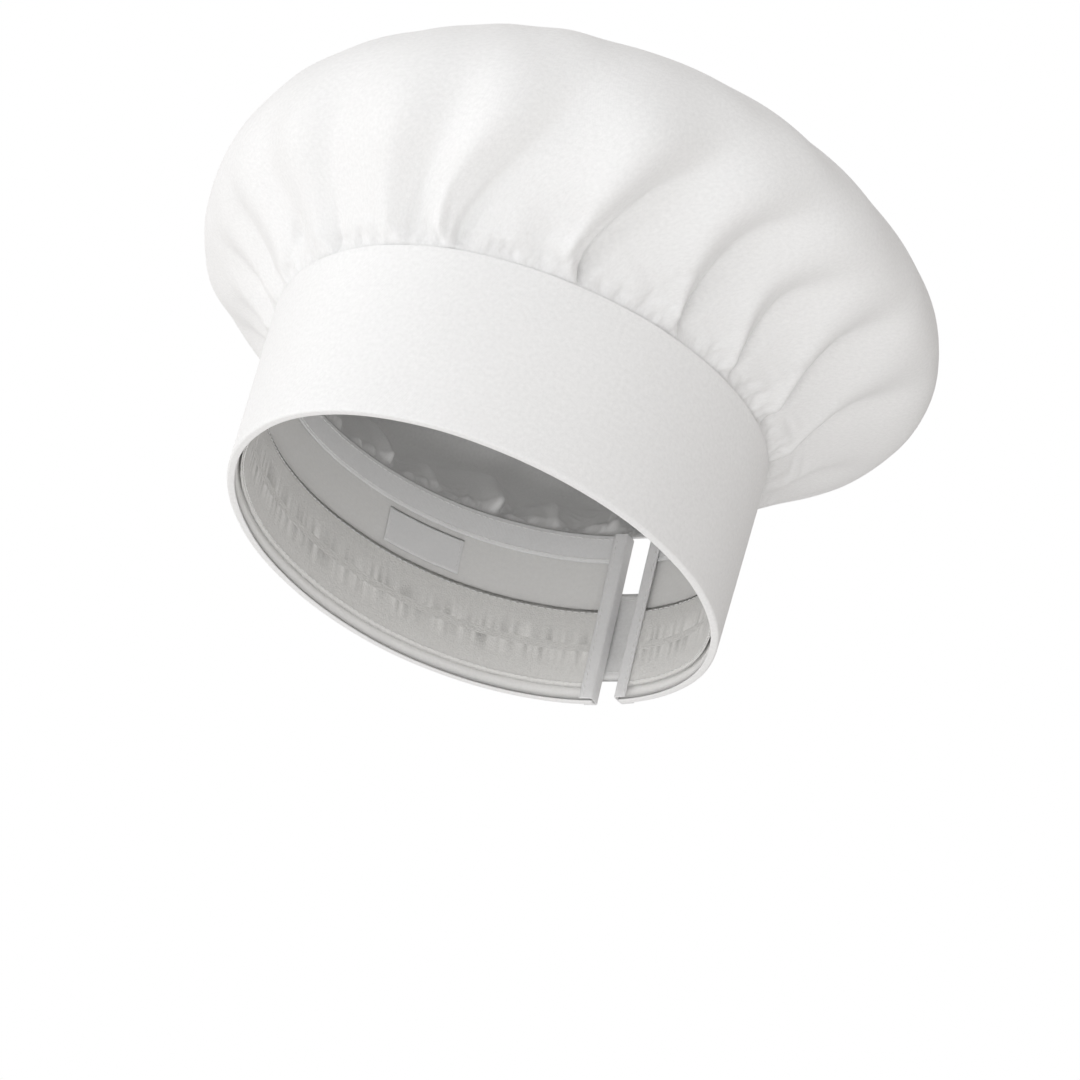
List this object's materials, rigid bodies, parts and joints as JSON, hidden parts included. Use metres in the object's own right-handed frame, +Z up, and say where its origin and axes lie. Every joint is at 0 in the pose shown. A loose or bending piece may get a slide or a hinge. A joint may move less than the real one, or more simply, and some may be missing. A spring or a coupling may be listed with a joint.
{
  "type": "chef toque",
  "caption": "Chef's toque with a full cloth crown gathered onto a stiffened head band, closed at the back by a hook and loop strap.",
  "frame": {"origin": "centre of the head opening, in the plane of the band's lower edge", "axes": "+Z up through the crown, the front of the hat faces -Y, +X is the wearer's left"},
  "size_m": [0.2668, 0.2726, 0.183],
  "materials": {
    "crown_twill": "soft matt white cotton blend cloth",
    "band_twill": "pressed matt white cotton blend cloth",
    "lining_cotton": "plain white cotton",
    "interfacing": "stiff white nonwoven",
    "sweatband_terry": "looped cotton terry",
    "binding_tape": "ribbed white tape",
    "label_satin": "blank satin ribbon",
    "hook_tape": "white nylon hooks on tape",
    "loop_tape": "white nylon loops on tape"
  },
  "bodies": {
    "head_band": {"band_shell": "band_twill", "band_interfacing": "interfacing", "band_lining": "lining_cotton", "sweatband": "sweatband_terry", "seam_binding": "binding_tape", "vent_binding_left": "binding_tape", "vent_binding_right": "binding_tape", "care_label": "label_satin", "crown_gathers": "crown_twill", "strap_base": "band_twill", "loop_tape": "loop_tape"},
    "crown_puff": {"crown": "crown_twill"},
    "closure_tab": {"tab_top": "band_twill", "tab_underside": "lining_cotton", "tab_stiffener": "interfacing", "hook_tape": "hook_tape"}
  },
  "joints": [
    {"name": "closure_tab_peel", "type": "hinge", "parent": "head_band", "child": "closure_tab", "pos_m": [-0.013, 0.10876, 0.03], "axis": [0, 0, 1], "range_deg": [0, 110]},
    {"name": "crown_flop", "type": "hinge", "parent": "head_band", "child": "crown_puff", "pos_m": [0, 0, 0.0685], "axis": [1, 0, 0], "range_deg": [-9, 9]}
  ]
}
